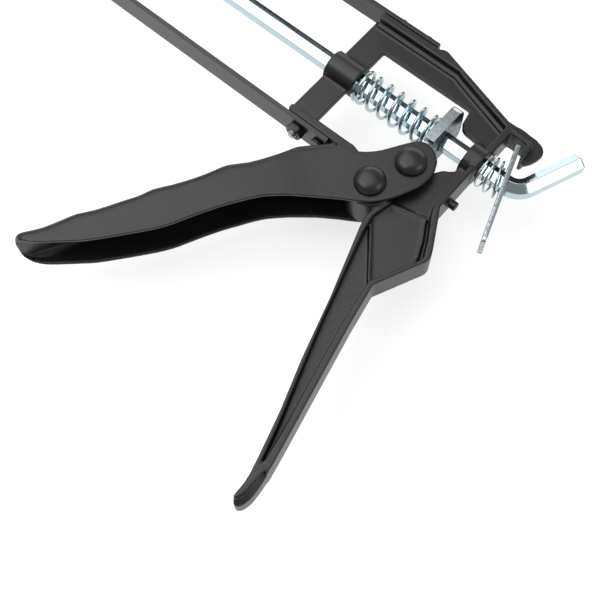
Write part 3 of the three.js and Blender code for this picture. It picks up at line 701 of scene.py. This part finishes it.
def push_rod():
    """The hexagonal rod with rounded edges, bent up at the back, chamfered at both ends."""
    reach = ROD_FLATS / math.sqrt(3)
    inner = reach - ROD_EDGE / math.cos(math.radians(30))
    outline = []
    for i in range(6):
        middle = 60 * i + 90
        centre = (inner * math.cos(math.radians(middle)), inner * math.sin(math.radians(middle)))
        outline += corner(centre, ROD_EDGE, middle - 30, middle + 30, 4)
    rings = []

    def ring(x, y, angle, inset=0):
        across = Vector((-math.sin(angle), math.cos(angle)))
        share = 1 - inset / reach
        rings.append(
            [(x + across.x * a * share, y + across.y * a * share, b * share) for a, b in outline]
        )

    def bend(angle):
        return BEND_X + BEND_RADIUS * math.sin(angle), BEND_RADIUS * (1 - math.cos(angle))

    front = box_mm("push_rod")[0].x
    ring(front, 0, 0, ROD_END_CHAMFER)
    ring(front + ROD_END_SLOPE, 0, 0)
    ring(front + ROD_END_HOLD, 0, 0)
    for i in range(BEND_STEPS + 1):
        angle = math.radians(BEND_DEG * i / BEND_STEPS)
        ring(*bend(angle), angle)
    x, y = bend(angle)
    along_x, along_y = math.cos(angle), math.sin(angle)
    for length in (1, TAIL - ROD_END_HOLD, TAIL - ROD_END_SLOPE):
        ring(x + length * along_x, y + length * along_y, angle)
    ring(x + TAIL * along_x, y + TAIL * along_y, angle, ROD_END_CHAMFER)
    finished(swept("push_rod_drawn", rings), "push_rod", ROD_ZINC)


# ---- springs ----
CLOSED_PITCH = 1.12
STEPS_A_TURN = 56
WIRE_SIDES = 14


def coil(name, radius, wire, start, end, closed_turns, active_turns, phase, lean=0.0):
    """A round wire wound about the rod, closed up at both ends. lean tips its last turns."""
    turns = 2 * closed_turns + active_turns
    closed_rise = wire * CLOSED_PITCH
    pitch = (end - start - 2 * closed_turns * closed_rise) / active_turns
    steps = int(turns * STEPS_A_TURN)
    centres = []
    for i in range(steps + 1):
        turn = turns * i / steps
        active = min(max(turn - closed_turns, 0), active_turns)
        x = start + (turn - active) * closed_rise + active * pitch
        angle = 2 * math.pi * (turn + phase)
        y, z = radius * math.cos(angle), radius * math.sin(angle)
        share = (x - start) / (end - start)
        centres.append(Vector((x - lean * y * share * share, y, z)))
    rings = []
    for i, centre in enumerate(centres):
        along = (centres[min(i + 1, steps)] - centres[max(i - 1, 0)]).normalized()
        out = Vector((0, centre.y, centre.z))
        out = (out - along * out.dot(along)).normalized()
        side = along.cross(out)
        ring = []
        for j in range(WIRE_SIDES):
            angle = 2 * math.pi * j / WIRE_SIDES
            ring.append(centre + (out * math.cos(angle) + side * math.sin(angle)) * wire / 2)
        rings.append(ring)
    return swept(name, rings)


MAIN_RADIUS = 6.65
MAIN_WIRE = 1.5


def main_spring():
    """The return spring, which shortens by the drive plate's whole travel."""
    low, high = box_mm("main_spring")
    start, end = low.x + MAIN_WIRE / 2, high.x - MAIN_WIRE / 2
    turns = {"closed_turns": 1.1, "active_turns": 5.8, "phase": 0.33}
    made = coil("main_spring_wound", MAIN_RADIUS, MAIN_WIRE, start, end, **turns)
    finished(made, "main_spring", SPRING_ZINC)
    bake(made)
    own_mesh(made)


RELEASE_RADIUS = 6.85
RELEASE_WIRE = 0.9
RELEASE_START_X = 77.65
LEVER_LEAN_DEG = 18.8
LEVER_SETBACK = 2.2


def release_spring():
    """The release lever's spring, its last turns leaning with the lever."""
    lever_top = (Vector(JOINTS["lever_pivot"]["pos_m"]) - ORIGIN) / MM
    lean = math.tan(math.radians(LEVER_LEAN_DEG))
    end = lever_top.x + lever_top.y * lean - LEVER_SETBACK
    name = "release_spring_wound"
    turns = {"closed_turns": 0.5, "active_turns": 2, "phase": 0.96, "lean": lean}
    made = coil(name, RELEASE_RADIUS, RELEASE_WIRE, RELEASE_START_X, end, **turns)
    finished(made, "release_spring", SPRING_ZINC)
    bake(made)
    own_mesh(made)


# ---- camera, floor and lights ----
CAMERA_PLACE = (156.5, -195.2, 338.6)
CAMERA_AIM = (58.8, -88.1, 0)
CAMERA_ROLL_DEG = -1.89
LENS = 60
SENSOR = 36
FLOOR_REACH = 3.0
FLOOR_GLOW = 0.72
WORLD_LIGHT = 0.3
WHITE = (1, 1, 1, 1)


def camera():
    made = bpy.data.objects.new("camera", bpy.data.cameras.new("camera"))
    bpy.context.scene.collection.objects.link(made)
    made.data.lens = LENS
    made.data.sensor_width = SENSOR
    made.data.clip_start = 0.01
    made.data.clip_end = 20
    made.location = at(*CAMERA_PLACE)
    aim = at(*CAMERA_AIM) - made.location
    level = aim.to_track_quat("-Z", "Y").to_matrix()
    roll = Matrix.Rotation(math.radians(CAMERA_ROLL_DEG), 3, "Z")
    made.rotation_euler = (level @ roll).to_euler()
    bpy.context.scene.camera = made


def floor():
    corners = [(-1, -1), (1, -1), (1, 1), (-1, 1)]
    vertices = [(x * FLOOR_REACH, y * FLOOR_REACH, FLOOR_Z) for x, y in corners]
    made = new_object("floor", vertices, [(0, 1, 2, 3)])
    finish = Finish("floor_paper", (0.9, 0.9, 0.9), 0.7, 0.0)
    clouds = finish.spread(finish.noise(8, 2), (0.3, 0.7), (0, 1))
    finish.color(finish.mix(clouds, (0.45, 0.45, 0.45), (0.48, 0.48, 0.48)))
    finish.surface.inputs["Emission Color"].default_value = WHITE
    finish.surface.inputs["Emission Strength"].default_value = FLOOR_GLOW
    made.data.materials.append(finish.material)


def softbox(name, place, target, width, height, watts, spin=0):
    """An area light of width by height at place, all in millimetres of the drawing frame,
    facing target and turned about its own axis by spin degrees."""
    data = bpy.data.lights.new(name, "AREA")
    data.shape = "RECTANGLE"
    data.size, data.size_y = width * MM, height * MM
    data.energy = watts
    made = bpy.data.objects.new(name, data)
    bpy.context.scene.collection.objects.link(made)
    made.location = at(*place)
    aim = at(*target) - made.location
    facing = aim.to_track_quat("-Z", "Y").to_matrix()
    made.rotation_euler = (facing @ Matrix.Rotation(math.radians(spin), 3, "Z")).to_euler()


def studio():
    world = bpy.data.worlds.new("studio")
    world.use_nodes = True
    background = world.node_tree.nodes["Background"]
    background.inputs["Color"].default_value = WHITE
    background.inputs["Strength"].default_value = WORLD_LIGHT
    bpy.context.scene.world = world
    handle_root = (40, -40, 0)
    softbox("overhead", (-415, 80, 700), (-415, 80, 0), 1100, 740, 4.5, -25)
    softbox("left", (-360, -300, 500), (-360, -300, 0), 680, 260, 1.1)
    softbox("right", (600, 150, 500), handle_root, 350, 350, 0.9)
    softbox("back", (-250, 700, 180), handle_root, 1000, 360, 1.5)
    bpy.context.scene.view_settings.view_transform = "Standard"


camera()
painted_skins()
flat_pieces()
fasteners()
drive_roller()
pusher_washer()
pusher_disc()
push_rod()
main_spring()
release_spring()
floor()
studio()
